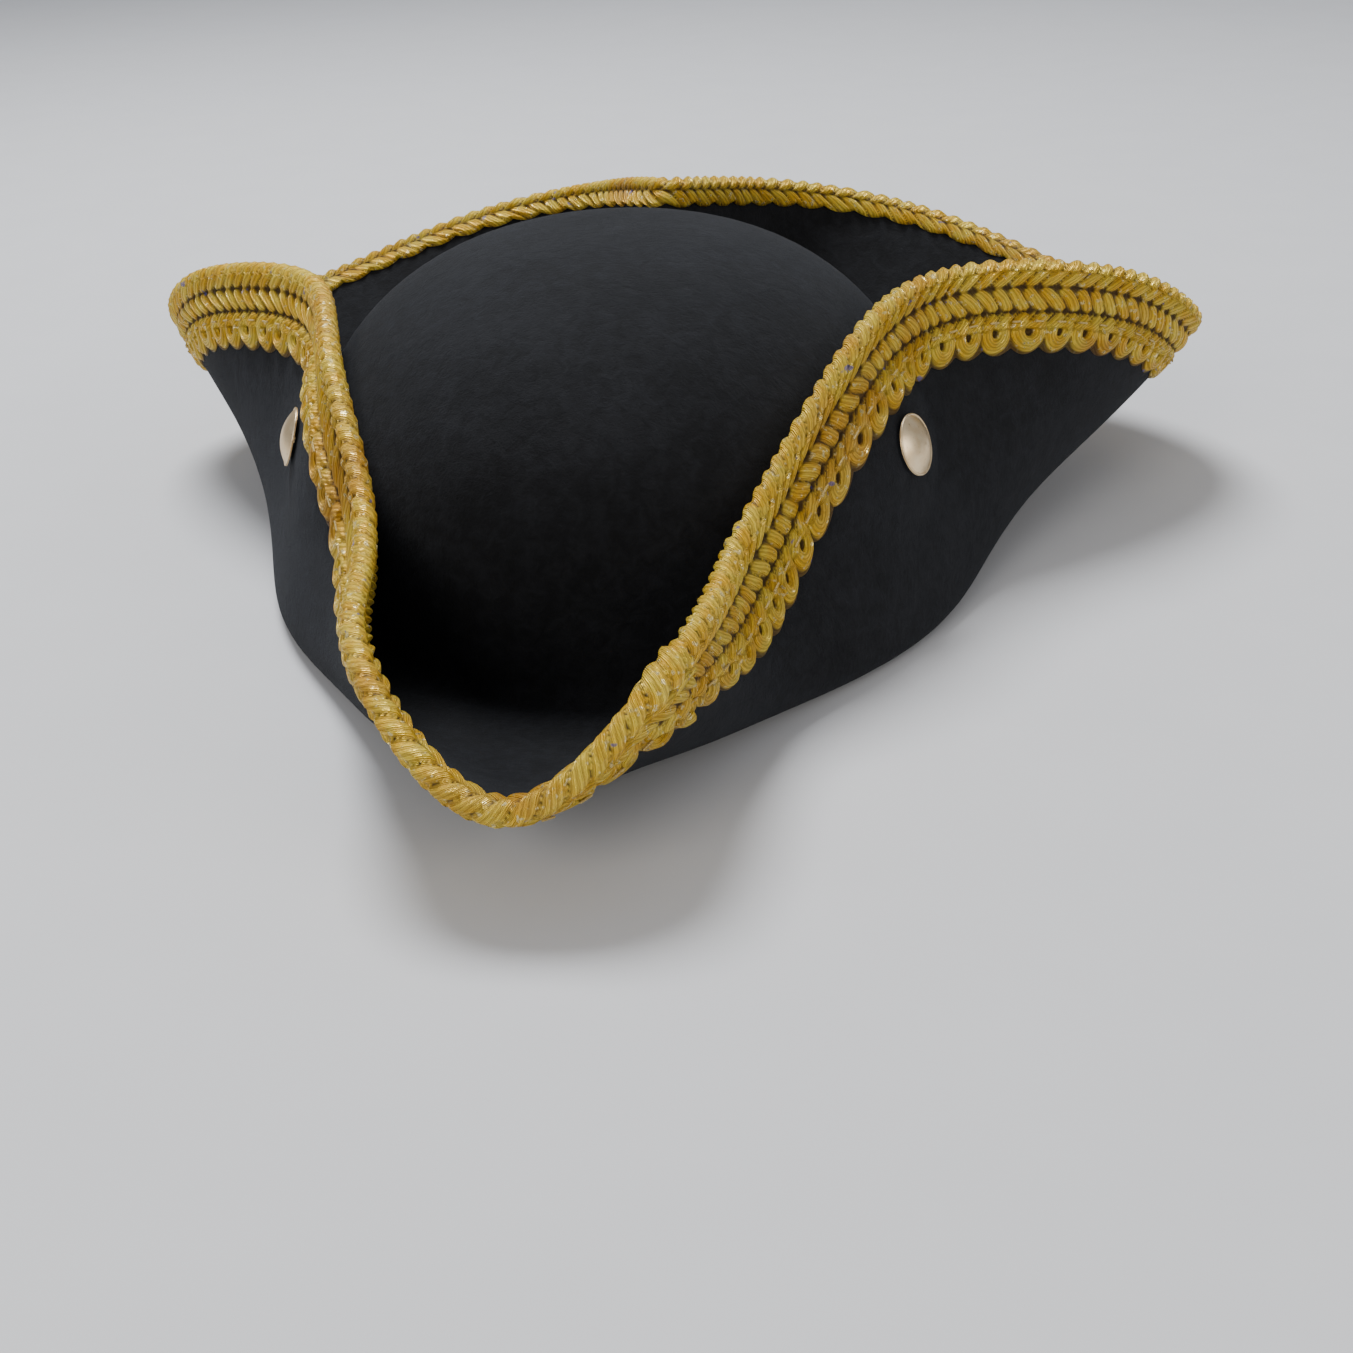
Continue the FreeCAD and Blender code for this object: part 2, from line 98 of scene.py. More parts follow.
# Half of the brim from the front tip to the middle of the back: degrees round the head at the crown,
# degrees round the head at the edge, how far the edge stands out and up, how far the felt runs out
# before it turns up (shares of BRIM_WIDTH), and its slope at the edge in degrees.
BRIM_STATIONS = [
    (0, 0, 0.85, 0.27, 0.40, 28),
    (11, 9, 0.71, 0.42, 0.38, 45),
    (34, 25, 0.09, 0.46, 0.20, 88),
    (54, 56, -0.14, 0.75, 0.10, 96),
    (68, 89, -0.08, 0.82, 0.09, 98),
    (83, 104, 0.30, 0.78, 0.10, 84),
    (97, 111, 0.70, 0.65, 0.13, 63),
    (109, 118, 0.96, 0.47, 0.16, 43),
    (128, 136, 1.00, 0.47, 0.19, 37),
    (147, 153, 0.85, 0.64, 0.16, 47),
    (166, 169, 0.48, 0.78, 0.11, 71),
    (180, 180, 0.00, 0.88, 0.08, 68),
]


# ---- the shape of the felt ------------------------------------------------------------------------
def oval(turn):
    """Points of the head oval for degrees round the head from the front tip, and the way outwards."""
    a = np.radians(turn)
    point = np.stack([HEAD_HALF_WIDTH * np.sin(a), -HEAD_HALF_LENGTH * np.cos(a), 0 * a], -1)
    out = np.stack([np.sin(a) / HEAD_HALF_WIDTH, -np.cos(a) / HEAD_HALF_LENGTH, 0 * a], -1)
    return point, unit(out)


def unit(v):
    return v / np.linalg.norm(v, axis=-1, keepdims=True)


def ring_spline(knots, values):
    """A smooth closed curve through values at knots, in degrees, as a function of the turn."""
    n = len(knots)
    gap = np.diff(np.append(knots, knots[0] + 360.0))
    system = np.zeros((n, n))
    right = np.zeros((n, values.shape[1]))
    for i in range(n):
        before, after = gap[i - 1], gap[i]
        system[i, i - 1] += before
        system[i, i] += 2 * (before + after)
        system[i, (i + 1) % n] += after
        right[i] = 6 * ((values[(i + 1) % n] - values[i]) / after - (values[i] - values[i - 1]) / before)
    bend = np.linalg.solve(system, right)

    def curve(turn):
        turn = np.mod(np.asarray(turn, float), 360.0)
        i = np.clip(np.searchsorted(knots, turn, side="right") - 1, 0, n - 1)
        j = (i + 1) % n
        h = gap[i][..., None]
        far = (turn - np.asarray(knots)[i])[..., None]
        near = h - far
        return (bend[i] * near ** 3 / (6 * h) + bend[j] * far ** 3 / (6 * h)
                + (values[i] / h - bend[i] * h / 6) * near + (values[j] / h - bend[j] * h / 6) * far)
    return curve


def station_rows():
    rows = []
    for turn, edge_turn, out, up, run_out, slope in BRIM_STATIONS:
        a = math.radians(edge_turn)
        reach = 1 / math.hypot(math.sin(a) / HEAD_HALF_WIDTH, math.cos(a) / HEAD_HALF_LENGTH)
        reach += out * BRIM_WIDTH
        rows.append([turn, reach * math.sin(a), -reach * math.cos(a), up * BRIM_WIDTH,
                     run_out * BRIM_WIDTH, slope])
    mirrored = [[360 - r[0], -r[1]] + r[2:] for r in rows[-2:0:-1]]
    return np.array(rows + mirrored)


STATIONS = station_rows()
STATION_CURVE = ring_spline(STATIONS[:, 0], STATIONS[:, 1:])


def edge_point(turn):
    point = STATION_CURVE(turn)[..., :3]
    ahead = np.maximum(-point[..., 1] / HEAD_HALF_LENGTH - 1, 0)
    point[..., 0] += TIP_SWAY * ahead
    return point


def upper_points(turn, steps):
    """The upper side of the brim at each turn: from the crown's foot, round the root, to the edge."""
    turn = np.asarray(turn, float)
    foot, out = oval(turn)
    up = np.array([0, 0, 1.0])
    round_head = np.stack([-out[:, 1], out[:, 0], 0 * turn], -1)
    rows = []
    for angle in np.radians(ROOT_ANGLES):
        rows.append(foot + out * ROOT_RADIUS * (1 - np.cos(angle))
                    + up * (FELT + ROOT_RADIUS * (1 - np.sin(angle))))
    start = foot + out * ROOT_RADIUS + up * FELT
    end = edge_point(turn)
    chord = end - start
    length = np.linalg.norm(chord, axis=-1, keepdims=True)
    shift = (chord * round_head).sum(-1, keepdims=True) / length
    bend = STATION_CURVE(turn)[:, 3:]
    slope = np.radians(bend[:, 1:2])
    arrive = unit(out * np.cos(slope) + up * np.sin(slope) + round_head * shift)
    first = start + unit(out + round_head * shift * 0.3) * bend[:, :1]
    second = end - arrive * length * EDGE_HANDLE
    for t in np.linspace(0, 1, steps):
        point = (start * (1 - t) ** 3 + first * 3 * t * (1 - t) ** 2
                 + second * 3 * t ** 2 * (1 - t) + end * t ** 3)
        rows.append(lean_on_crown(point))
    return np.stack(rows, 1)


def lean_on_crown(point):
    flat = np.hypot(point[:, 0] / (HEAD_HALF_WIDTH + LEAN), point[:, 1] / (HEAD_HALF_LENGTH + LEAN))
    up = np.maximum(point[:, 2] - CROWN_FOOT, 0) / (CROWN_HEIGHT + LEAN - CROWN_FOOT)
    room = np.clip(1 - up ** CROWN_FULLNESS, 1e-9, 1)
    push = np.maximum(room ** (1 / CROWN_FULLNESS) / flat, 1)
    return point * np.stack([push, push, 1 + 0 * push], -1)


def felt_sheet(turn, steps):
    """Points of the brim's upper side and the ways through the felt to its outside."""
    points = upper_points(turn, steps)
    along = upper_points(turn + SIDE_STEP, steps) - upper_points(turn - SIDE_STEP, steps)
    across = np.gradient(points, axis=1)
    normals = unit(np.cross(along, across))
    _, out = oval(turn)
    normals[:, 0] = -out
    return points, normals


def crown_ring(turn, inset, z):
    """A ring of points on the crown, moved inwards by inset."""
    rise = CROWN_HEIGHT - inset - CROWN_FOOT
    up = np.clip((z - CROWN_FOOT) / rise, 0, 1)
    size = (1 - up ** CROWN_FULLNESS) ** (1 / CROWN_FULLNESS)
    a = np.radians(turn)
    half = (HEAD_HALF_WIDTH - inset) * size
    stretch = HEAD_HALF_LENGTH / HEAD_HALF_WIDTH
    return np.stack([half * np.sin(a), -half * stretch * np.cos(a), z + 0 * a], -1)


# ---- making meshes --------------------------------------------------------------------------------
def grid_mesh(name, grid, closed_round, closed_across, layers=None, caps=()):
    """A mesh from a grid of points in millimetres. layers holds UV maps as grids of pairs."""
    columns, rows = grid.shape[:2]
    points = grid.reshape(-1, 3) * 0.001
    i, j = np.meshgrid(np.arange(columns if closed_round else columns - 1),
                       np.arange(rows if closed_across else rows - 1), indexing="ij")
    i, j = i.ravel(), j.ravel()
    i2, j2 = (i + 1) % columns, (j + 1) % rows
    quads = np.stack([i * rows + j, i2 * rows + j, i2 * rows + j2, i * rows + j2], -1)
    faces = quads.tolist()
    points = points.tolist()
    for row, apex, flip in caps:
        tip = len(points)
        points.append([c * 0.001 for c in apex])
        for k in range(columns):
            face = [k * rows + row, ((k + 1) % columns) * rows + row, tip]
            faces.append(face[::-1] if flip else face)
    mesh = bpy.data.meshes.new(name)
    mesh.from_pydata(points, [], faces)
    for layer, values in (layers or {}).items():
        uv = mesh.uv_layers.new(name=layer)
        pairs = np.zeros((len(mesh.loops), 2), np.float32)
        i3 = np.where(i2 == 0, columns, i2) if closed_round else i2
        j3 = np.where(j2 == 0, rows, j2) if closed_across else j2
        corners = np.stack([values[i, j], values[i3, j], values[i3, j3], values[i, j3]], 1)
        pairs[:4 * len(quads)] = corners.reshape(-1, 2)
        uv.data.foreach_set("uv", pairs.ravel())
    mesh.validate()
    mesh.polygons.foreach_set("use_smooth", [True] * len(mesh.polygons))
    made = bpy.data.objects.new(name, mesh)
    bpy.context.scene.collection.objects.link(made)
    return made


def face_outwards(made, open_ends=False):
    """Fills the open ends of a strip, where it has any, and turns the mesh's faces outwards."""
    bpy.ops.object.select_all(action="DESELECT")
    bpy.context.view_layer.objects.active = made
    made.select_set(True)
    bpy.ops.object.mode_set(mode="EDIT")
    if open_ends:
        bpy.ops.mesh.select_mode(type="EDGE")
        bpy.ops.mesh.select_all(action="DESELECT")
        bpy.ops.mesh.select_non_manifold(extend=False)
        bpy.ops.mesh.edge_face_add()
    bpy.ops.mesh.select_all(action="SELECT")
    bpy.ops.mesh.normals_make_consistent(inside=False)
    bpy.ops.object.mode_set(mode="OBJECT")
    made.select_set(False)
    return made


# ---- material maths -------------------------------------------------------------------------------
class Wire:
    """A number on its way through a material, so that sums can be written as sums."""

    def __init__(self, finish, socket):
        self.finish = finish
        self.socket = socket

    def maths(self, operation, *others):
        return self.finish.maths(operation, self, *others)

    def __add__(self, other):
        return self.maths("ADD", other)

    __radd__ = __add__

    def __mul__(self, other):
        return self.maths("MULTIPLY", other)

    __rmul__ = __mul__

    def __sub__(self, other):
        return self.maths("SUBTRACT", other)

    def __rsub__(self, other):
        return self.finish.maths("SUBTRACT", other, self)

    def __truediv__(self, other):
        return self.maths("DIVIDE", other)

    def __rtruediv__(self, other):
        return self.finish.maths("DIVIDE", other, self)

    def __pow__(self, other):
        return self.maths("POWER", other)

    def wave(self):
        """From 0 to 1 and back, once for each whole number."""
        return 0.5 - 0.5 * (self * (2 * math.pi)).maths("COSINE")

    def step_up(self, low, high):
        """0 below low, 1 above high, and smooth between."""
        ramp = self.finish.node("ShaderNodeMapRange", {"Value": self, "From Min": low, "From Max": high},
                                interpolation_type="SMOOTHSTEP")
        return Wire(self.finish, ramp.outputs["Result"])


class Finish:
    """One material and the nodes in it."""

    def __init__(self, name):
        self.material = bpy.data.materials.new(name)
        self.material.use_nodes = True
        self.tree = self.material.node_tree
        self.surface = self.tree.nodes["Principled BSDF"]

    def node(self, kind, sockets, **settings):
        made = self.tree.nodes.new(kind)
        for key, value in settings.items():
            setattr(made, key, value)
        for key, value in sockets.items():
            self.feed(made.inputs[key], value)
        return made

    def feed(self, socket, value):
        if isinstance(value, Wire):
            value = value.socket
        if isinstance(value, bpy.types.NodeSocket):
            self.tree.links.new(value, socket)
        elif isinstance(value, tuple) and len(value) == 3 and socket.type == "RGBA":
            socket.default_value = (*value, 1)
        else:
            socket.default_value = value

    def maths(self, operation, *values):
        made = self.node("ShaderNodeMath", dict(enumerate(values)), operation=operation)
        return Wire(self, made.outputs[0])

    def place(self, scale=(1, 1, 1)):
        """Object coordinates in metres, times a scale."""
        coordinates = self.node("ShaderNodeTexCoord", {})
        mapping = self.node("ShaderNodeMapping", {"Vector": coordinates.outputs["Object"], "Scale": scale})
        return mapping.outputs["Vector"]

    def map(self, layer):
        """The two numbers of a UV map."""
        uv = self.node("ShaderNodeUVMap", {}, uv_map=layer)
        parts = self.node("ShaderNodeSeparateXYZ", {"Vector": uv.outputs["UV"]})
        return Wire(self, parts.outputs["X"]), Wire(self, parts.outputs["Y"])

    def noise(self, vector, scale, detail=3.0, roughness=0.55, distortion=0.0):
        made = self.node("ShaderNodeTexNoise", {"Vector": vector, "Scale": scale, "Detail": detail,
                                                "Roughness": roughness, "Distortion": distortion})
        return Wire(self, made.outputs[0])

    def mix(self, factor, first, second):
        made = self.node("ShaderNodeMix", {0: factor, 6: first, 7: second}, data_type="RGBA")
        return made.outputs[2]

    def bump(self, height, distance, strength=1.0):
        made = self.node("ShaderNodeBump", {"Height": height, "Distance": distance, "Strength": strength})
        return made.outputs["Normal"]

    def use(self, **sockets):
        names = {"color": "Base Color", "roughness": "Roughness", "metallic": "Metallic",
                 "normal": "Normal", "sheen": "Sheen Weight", "sheen_roughness": "Sheen Roughness",
                 "sheen_tint": "Sheen Tint", "specular": "Specular IOR Level"}
        for key, value in sockets.items():
            self.feed(self.surface.inputs[names[key]], value)
        return self.material


def wool_felt():
    """Black blocked wool felt: matted short hairs, faint pale bloom, and small lint-like flecks."""
    f = Finish("wool felt")
    here = f.place()
    hairs = f.noise(f.place((1.0, 1.6, 0.8)), 900.0, detail=4.0, roughness=0.7, distortion=1.5)
    matting = f.noise(here, 260.0, detail=4.0, roughness=0.65, distortion=0.6)
    clouds = f.noise(here, 22.0, roughness=0.6)
    bloom = (matting * 0.55 + clouds * 0.45).step_up(0.36, 0.72)
    color = f.mix(bloom, (0.0022, 0.0022, 0.0027), (0.0115, 0.012, 0.0142))
    lint = hairs.step_up(0.66, 0.78)
    color = f.mix(lint * 0.3, color, (0.05, 0.052, 0.06))
    height = hairs * 0.45 + matting * 0.55
    return f.use(color=color, roughness=0.86 + 0.12 * matting, specular=0.22,
                 normal=f.bump(height, distance=0.0011, strength=0.75),
                 sheen=0.055, sheen_roughness=0.5, sheen_tint=(0.62, 0.68, 0.8))


def gold_yarn():
    """Metallic gold yarn in slanted strands. Map "twist" holds the strand count and the relief."""
    f = Finish("gold braid")
    here = f.place()
    strand, height = f.map("twist")
    run, _ = f.map("run")
    threads = (strand * 4.0 + f.noise(here, 240.0, detail=2.0) * 0.9).wave()
    fine = (strand * 13.0 + run * 0.9).wave()
    shade = f.noise(here, 150.0)
    patches = f.noise(here, 26.0, detail=2.0)
    gold = f.mix(shade.step_up(0.35, 0.65), (0.90, 0.52, 0.012), (1.0, 0.74, 0.07))
    gold = f.mix(patches.step_up(0.5, 0.72) * 0.6, gold, (0.62, 0.27, 0.035))
    # Painted shade: the gaps between the threads are darkened towards brown.
    gold = f.mix((1 - threads) * 0.5, gold, (0.20, 0.085, 0.006))
    # Shiny flecks: their base colour is paled to light gold as a painted glint; they are also more
    # metallic and smoother.
    flecks_and_painted_glint = f.noise(here, 620.0, detail=1.0).step_up(0.62, 0.72)
    gold = f.mix(flecks_and_painted_glint * 0.75, gold, (1.0, 0.86, 0.42))
    # Painted shade: the braid's low ground, the grooves between its strands and rows, and its back are
    # darkened to deep brown; in the holes this also stands for the black felt seen through them.
    low_and_painted_shade = 1 - height.step_up(0.10, 0.48)
    gold = f.mix(low_and_painted_shade * 0.94, gold, (0.055, 0.026, 0.008))
    specks = f.noise(here, 300.0, detail=1.0).step_up(0.73, 0.77)
    gold = f.mix(specks * 0.7, gold, (0.10, 0.10, 0.42))
    rough = 0.36 + 0.22 * (1 - threads) + 0.2 * low_and_painted_shade - 0.16 * flecks_and_painted_glint
    relief = threads * 0.65 + fine * 0.35
    return f.use(color=gold, metallic=0.35 + 0.4 * flecks_and_painted_glint, roughness=rough,
                 normal=f.bump(relief, distance=0.0011, strength=0.9))


def twisted_thread(name, dark, light, metallic):
    """Sewing thread: fine plies wound round each stitch, with a painted highlight that makes them a little
    paler on their crests.
    """
    f = Finish(name)
    plies = f.noise(f.place((1, 1, 3)), 2600.0, detail=2.0, roughness=0.5, distortion=0.8)
    worn = f.noise(f.place(), 60.0)
    # Painted highlight: where the ply bump is high the colour is paled towards the light one.
    color = f.mix(plies.step_up(0.35, 0.65), dark, light)
    color = f.mix(worn * 0.3, color, dark)
    return f.use(color=color, metallic=metallic, roughness=0.5 + 0.3 * plies,
                 normal=f.bump(plies, distance=0.0002, strength=0.8))


def grosgrain():
    """Black ribbed ribbon: upright ribs 1 mm apart, with fine filling threads between."""
    f = Finish("grosgrain ribbon")
    run, rise = f.map("run")
    ribs = run.wave()
    filling = (rise * 2.6 + (run * 0.5).wave() * 0.5).wave()
    wear = f.noise(f.place(), 45.0, detail=4.0)
    # Painted shade and highlight: the grooves between the ribs are darker and the rib crests paler,
    # following the bump.
    color = f.mix(ribs, (0.004, 0.004, 0.005), (0.020, 0.020, 0.023))
    color = f.mix(wear.step_up(0.5, 0.75) * 0.4, color, (0.035, 0.034, 0.036))
    return f.use(color=color, roughness=0.55 + 0.25 * (1 - ribs), sheen=0.15,
                 normal=f.bump(ribs * 0.8 + filling * 0.2, distance=0.0004, strength=0.8))


def label_tape():
    """Off-white woven tape, a plain weave with slightly greyed patches."""
    f = Finish("label tape")
    run, rise = f.map("run")
    weave = (run * 2.0).wave() * 0.5 + (rise * 2.0).wave() * 0.5
    soil = f.noise(f.place(), 160.0)
    # Painted shade and highlight: the low parts of the weave are darker and its crests paler, following
    # the bump.
    color = f.mix(weave, (0.48, 0.46, 0.42), (0.78, 0.77, 0.72))
    color = f.mix(soil.step_up(0.5, 0.8) * 0.35, color, (0.4, 0.37, 0.32))
    return f.use(color=color, roughness=0.75 + 0.15 * weave,
                 normal=f.bump(weave, distance=0.0002, strength=0.8))


def satin_brass():
    """Pale satin brass with faint drawn lines, tiny pits and duller patches."""
    f = Finish("satin brass")
    lines = f.noise(f.place((1.0, 1.0, 14.0)), 300.0)
    patches = f.noise(f.place(), 190.0, roughness=0.6)
    pits = f.noise(f.place(), 1500.0, detail=1.0).step_up(0.68, 0.76)
    color = f.mix(patches.step_up(0.35, 0.7), (0.78, 0.58, 0.33), (0.86, 0.70, 0.46))
    color = f.mix(pits * 0.5, color, (0.30, 0.2, 0.1))
    rough = 0.30 + 0.16 * patches + 0.15 * pits
    return f.use(color=color, metallic=0.95, roughness=rough,
                 normal=f.bump(lines * 0.5 - pits * 0.5, distance=0.0001, strength=0.5))


def studio_floor():
    f = Finish("pale floor")
    grain = f.noise(f.place(), 30.0, detail=4.0)
    color = f.mix(grain, (0.60, 0.60, 0.61), (0.64, 0.64, 0.65))
    return f.use(color=color, roughness=0.7 + 0.1 * grain,
                 normal=f.bump(grain, distance=0.0005, strength=0.2))


# ---- pieces ---------------------------------------------------------------------------------------
def felt_body():
    """The whole hat body as one piece of blocked felt: crown, root, brim and the rounded edge."""
    turn = np.linspace(0, 360, FELT_COLUMNS, endpoint=False)
    points, normals = felt_sheet(turn, FELT_STEPS)
    dome = [CROWN_FOOT + (CROWN_HEIGHT - CROWN_FOOT) * math.sin(a)
            for a in np.radians(np.linspace(89, 2, DOME_ROWS))]
    inner_rise = (CROWN_HEIGHT - FELT - CROWN_FOOT) / (CROWN_HEIGHT - CROWN_FOOT)
    rows = [crown_ring(turn, 0.0, z) for z in dome]
    rows += list(points.transpose(1, 0, 2))
    tip = unit(points[:, -1] - points[:, -2])
    middle = points[:, -1] + normals[:, -1] * FELT / 2
    for angle in np.radians([-60, -30, 0, 30, 60]):
        rows.append(middle + (tip * math.cos(angle) * 0.6 + normals[:, -1] * math.sin(angle)) * FELT / 2)
    under = points + normals * FELT
    rows += list(under.transpose(1, 0, 2)[::-1])
    rows += [crown_ring(turn, FELT, CROWN_FOOT + (z - CROWN_FOOT) * inner_rise) for z in dome[::-1]]
    grid = np.stack(rows, 1)
    caps = [(0, (0, 0, CROWN_HEIGHT), True), (grid.shape[1] - 1, (0, 0, CROWN_HEIGHT - FELT), False)]
    made = face_outwards(grid_mesh("felt_body", grid, True, False, caps=caps))
    made.data.materials.append(wool_felt())
    return made


def soft_bar(x, sharpness=0.9):
    """A rounded bar for each whole number: 1 on its middle and 0 in the groove."""
    return np.abs(np.cos(np.pi * x)) ** sharpness


def braid_relief(along, across):
    """Height of the braid in millimetres, strand count, and how open the braid is, at each place.

    along counts scallops. across is the distance from the fold, outside positive, inside negative.
    """
    along = along + 0.10 * np.sin(along * 0.83) + 0.06 * np.sin(along * 2.3 + across * 0.2)
    off = along - np.round(along)
    rope = 2.0 * along + across / 4.8
    leaf = 2.0 * along - (across - 7.0) / 6.0 + 0.25
    chain = 2.0 * along + (across - 13.5) / 5.0
    inside = 2.0 * along - across / 5.0
    strand = np.where(across > ROW_LEAF, chain, np.where(across > ROW_ROPE, leaf, rope))
    strand = np.where(across < ROW_INNER, inside, strand)
    ends = (ROW_INNER_END, ROW_INNER, ROW_ROPE, ROW_LEAF, ROW_CHAIN)
    height = np.zeros_like(along)
    for low, high in zip(ends, ends[1:]):
        share = np.clip((across - low) / (high - low), 0, 1)
        crest = np.sin(np.pi * share) ** 0.45
        height = np.maximum(height, crest * (0.08 + 0.92 * soft_bar(strand)))
    reach = np.hypot(off * SCALLOP, across - LOOP_MIDDLE)
    loop = np.exp(-((reach - LOOP_RADIUS) / LOOP_HALF_WIDTH) ** 4)
    scallop = (across > 16.2) * (0.15 + 0.85 * loop)
    height = np.maximum(height * (1 - (across > ROW_CHAIN)), scallop)
    strand = np.where(across > ROW_CHAIN, reach / LOOP_RADIUS + 0.4 * along, strand)
    hole = np.exp(-(np.hypot(off * SCALLOP * 0.8, across - HOLE_MIDDLE) / HOLE_RADIUS) ** 4)
    half = along * 2 - np.round(along * 2)
    small = np.exp(-(np.hypot(half * SCALLOP / 2, across - 13.3) / HOLE_RADIUS) ** 4)
    small += np.exp(-(np.hypot((0.5 - np.abs(half)) * SCALLOP / 2, across - 6.6) / PINHOLE_RADIUS) ** 4)
    height = height * (1 - hole) * (1 - 0.9 * small)
    return BRAID_BASE + BRAID_RELIEF * height, strand, height


def gold_braid():
    """The braid: one long strip folded over the brim's edge, with its two ends overlapped."""
    scan = np.linspace(BRAID_JOIN, BRAID_JOIN + 360, 7201)
    step = np.linalg.norm(np.diff(edge_point(scan), axis=0), axis=1)
    walked = np.append(0, np.cumsum(step))
    length = walked[-1]
    along = np.linspace(0, length + BRAID_OVERLAP, BRAID_COLUMNS)
    turn = np.interp(np.mod(along, length), walked, scan)
    scallops = along / (length / round(length / SCALLOP))
    points, normals = felt_sheet(turn, 30)
    under = points + normals * FELT
    tip = unit(points[:, -1] - points[:, -2])
    middle = points[:, -1] + normals[:, -1] * FELT / 2
    fold = math.pi * FELT / 2
    dip = np.abs(np.cos(np.pi * scallops)) ** 0.8

    def walk_in(line, distance):
        """Places and normals at a distance in from the edge, for each column."""
        back = line[:, ::-1]
        gaps = np.linalg.norm(np.diff(back, axis=1), axis=2)
        far = np.concatenate([np.zeros((BRAID_COLUMNS, 1)), np.cumsum(gaps, axis=1)], 1)
        i = np.clip((far < distance[:, None]).sum(1) - 1, 0, back.shape[1] - 2)
        each = np.arange(BRAID_COLUMNS)
        share = ((distance - far[each, i]) / (far[each, i + 1] - far[each, i]))[:, None]
        flipped = normals[:, ::-1]
        place = back[each, i] * (1 - share) + back[each, i + 1] * share
        return place, unit(flipped[each, i] * (1 - share) + flipped[each, i + 1] * share)

    rows = []
    for share in np.linspace(1, 0, 10)[:-1]:
        distance = share * (BRAID_INSIDE - BRAID_DIP_INSIDE * (1 - dip))
        place, normal = walk_in(points, distance)
        rows.append((place, -normal, -distance, share))
    for angle in np.linspace(-math.pi / 2, math.pi / 2, 7):
        way = tip * math.cos(angle) + normals[:, -1] * math.sin(angle)
        rows.append((middle + way * FELT / 2, way, 0 * along + (angle / math.pi + 0.5) * fold, 0.0))
    for share in np.linspace(0, 1, 33)[1:]:
        distance = share * (BRAID_OUTSIDE - BRAID_DIP_OUTSIDE * (1 - dip))
        place, normal = walk_in(under, distance)
        rows.append((place, normal, distance + fold * FOLD_SHARE, share))
    lap = np.clip((along - length) / 5.0 + 0.6, 0, 1)
    lap = lap * lap * (3 - 2 * lap) * BRAID_LAP
    grid, twist, run = [], [], []
    for place, normal, across, share in rows:
        height, strand, depth = braid_relief(scallops, across + 0 * along)
        height = height * (1 - max(share - 0.93, 0) * 9)
        grid.append(place + normal * (height + lap)[:, None])
        twist.append(np.stack([strand, depth], -1))
        run.append(np.stack([scallops, across / SCALLOP], -1))
    for place, normal, _, _ in [rows[k] for k in BRAID_BACK]:
        grid.append(place + normal * (BRAID_UNDERSIDE + lap)[:, None])
        twist.append(twist[0] * 0)
        run.append(run[0])
    twist.append(twist[0])
    run.append(run[0])
    grid = np.stack(grid, 1)
    made = grid_mesh("braid", grid, False, True, {"run": np.stack(run, 1), "twist": np.stack(twist, 1)})
    made = face_outwards(made, open_ends=True)
    made.data.materials.append(gold_yarn())
    return made, length


def ribbon_section(turn, outside, thick, low, high, rows):
    """Points up the back of a ribbon inside the crown and down its face."""
    heights = np.linspace(low, high, rows)
    back = [crown_ring(turn, outside, z) for z in heights]
    face = [crown_ring(turn, outside + thick, z) for z in heights[::-1]]
    return np.stack(back + face, 1), np.append(heights, heights[::-1])


def ribbon_run(heights, columns, length):
    """A ribbon's UV map: distance along it, and height in millimetres across it."""
    run = np.zeros((columns, len(heights) + 1, 2))
    run[:, :, 0] = np.linspace(0, length, columns)[:, None]
    run[:, :-1, 1] = heights
    run[:, -1, 1] = heights[0]
    return run


def sweatband():
    """The ribbed ribbon round the inside of the head opening."""
    turn = np.linspace(0, 360, BAND_COLUMNS, endpoint=False)
    grid, heights = ribbon_section(turn, FELT + BAND_FIT, BAND_THICK, BAND_LOW, BAND_HIGH, 12)
    run = ribbon_run(heights, BAND_COLUMNS + 1, BAND_RIBS)
    made = face_outwards(grid_mesh("sweatband_ribbon", grid, True, True, {"run": run}))
    made.data.materials.append(grosgrain())
    return made


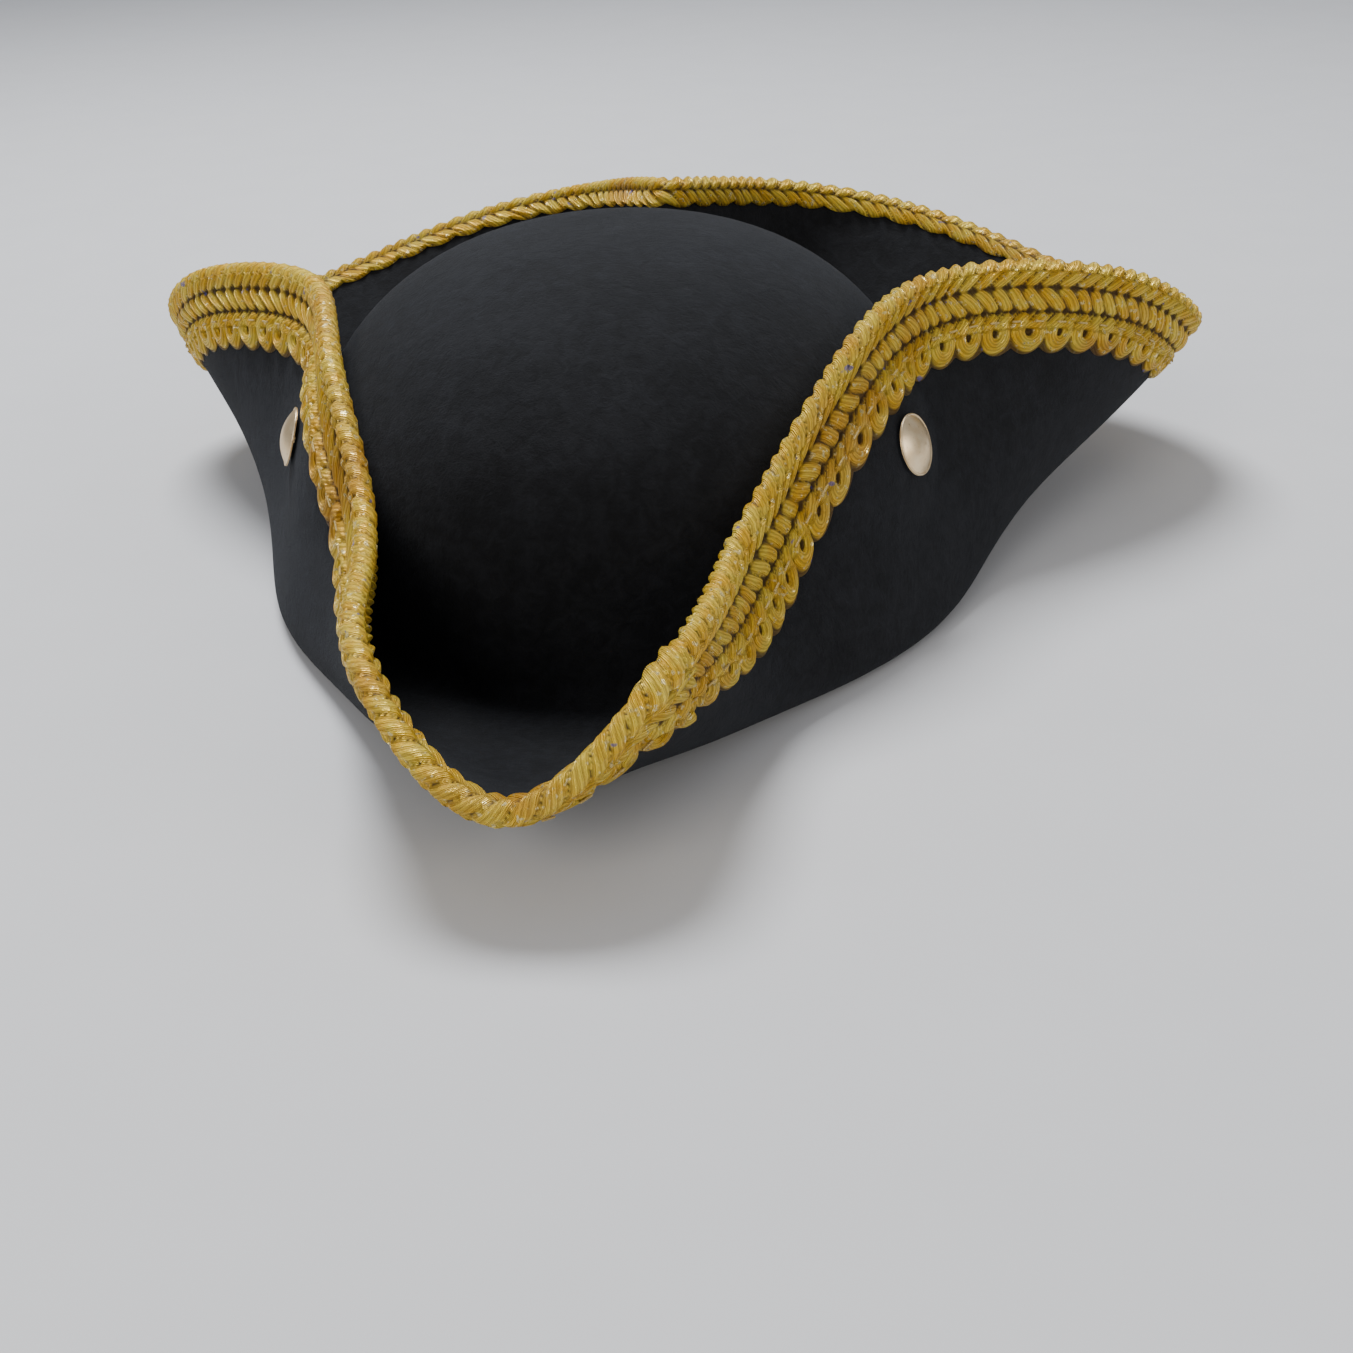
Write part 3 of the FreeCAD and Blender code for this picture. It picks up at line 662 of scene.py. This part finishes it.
def size_label():
    """A small blank tape sewn to the inside of the ribbon at the back."""
    half = math.degrees(LABEL_WIDTH / HEAD_HALF_LENGTH) / 2
    turn = np.linspace(180 - half, 180 + half, LABEL_COLUMNS)
    outside = FELT + 2 * BAND_FIT + BAND_THICK
    grid, heights = ribbon_section(turn, outside, LABEL_THICK, LABEL_LOW, LABEL_HIGH, 8)
    run = ribbon_run(heights, LABEL_COLUMNS, LABEL_WIDTH)
    made = face_outwards(grid_mesh("blank_label", grid, False, True, {"run": run}), open_ends=True)
    made.data.materials.append(label_tape())
    return made


def dress(node, material):
    """Gives a node of the frame its finish."""
    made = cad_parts[node]
    made.data.materials.clear()
    made.data.materials.append(material)


# ---- the object -----------------------------------------------------------------------------------
felt = felt_body()
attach(felt, "hat")
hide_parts("crown", "brim_front", "brim_left", "brim_right")

braid, braid_length = gold_braid()
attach(braid, "hat")
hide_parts("gold_braid")
braid_length / 1000 + 0.013

ribbon = sweatband()
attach(ribbon, "hat")
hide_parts("sweatband")

label = size_label()
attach(label, "hat")
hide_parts("size_label")

dress("braid_stitches", twisted_thread("gold thread", (0.30, 0.20, 0.06), (0.75, 0.57, 0.2), 0.3))
dress("sweatband_stitches",
      twisted_thread("black thread", (0.008, 0.008, 0.009), (0.05, 0.05, 0.055), 0.0))
brass = satin_brass()
for side in ("left", "right"):
    for part in ("cap", "shank", "leg_upper", "leg_lower"):
        dress(f"{side}_pin_{part}", brass)


# ---- studio ---------------------------------------------------------------------------------------
def floor():
    bpy.ops.mesh.primitive_plane_add(size=FLOOR_SIZE, location=(0, 0, 0))
    made = bpy.context.object
    made.name = "floor"
    made.data.materials.append(studio_floor())


def soft_light(name, place, size, power, color):
    bpy.ops.object.light_add(type="AREA", location=place)
    made = bpy.context.object
    made.name = name
    made.data.shape = "DISK"
    made.data.size = size
    made.data.energy = power
    made.data.color = color
    made.rotation_euler = (Vector(LIGHT_AIM) - Vector(place)).to_track_quat("-Z", "Y").to_euler()


def camera():
    bpy.ops.object.camera_add()
    made = bpy.context.object
    made.data.lens = LENS
    made.data.sensor_width = SENSOR
    made.data.clip_start = 0.01
    made.matrix_world = CAMERA_PLACE
    bpy.context.scene.camera = made


def surroundings():
    world = bpy.data.worlds.new("soft room")
    world.use_nodes = True
    sky = world.node_tree.nodes["Background"]
    sky.inputs["Color"].default_value = SKY_COLOR
    sky.inputs["Strength"].default_value = SKY_STRENGTH
    bpy.context.scene.world = world


floor()
surroundings()
for light in LIGHTS:
    soft_light(*light)
camera()
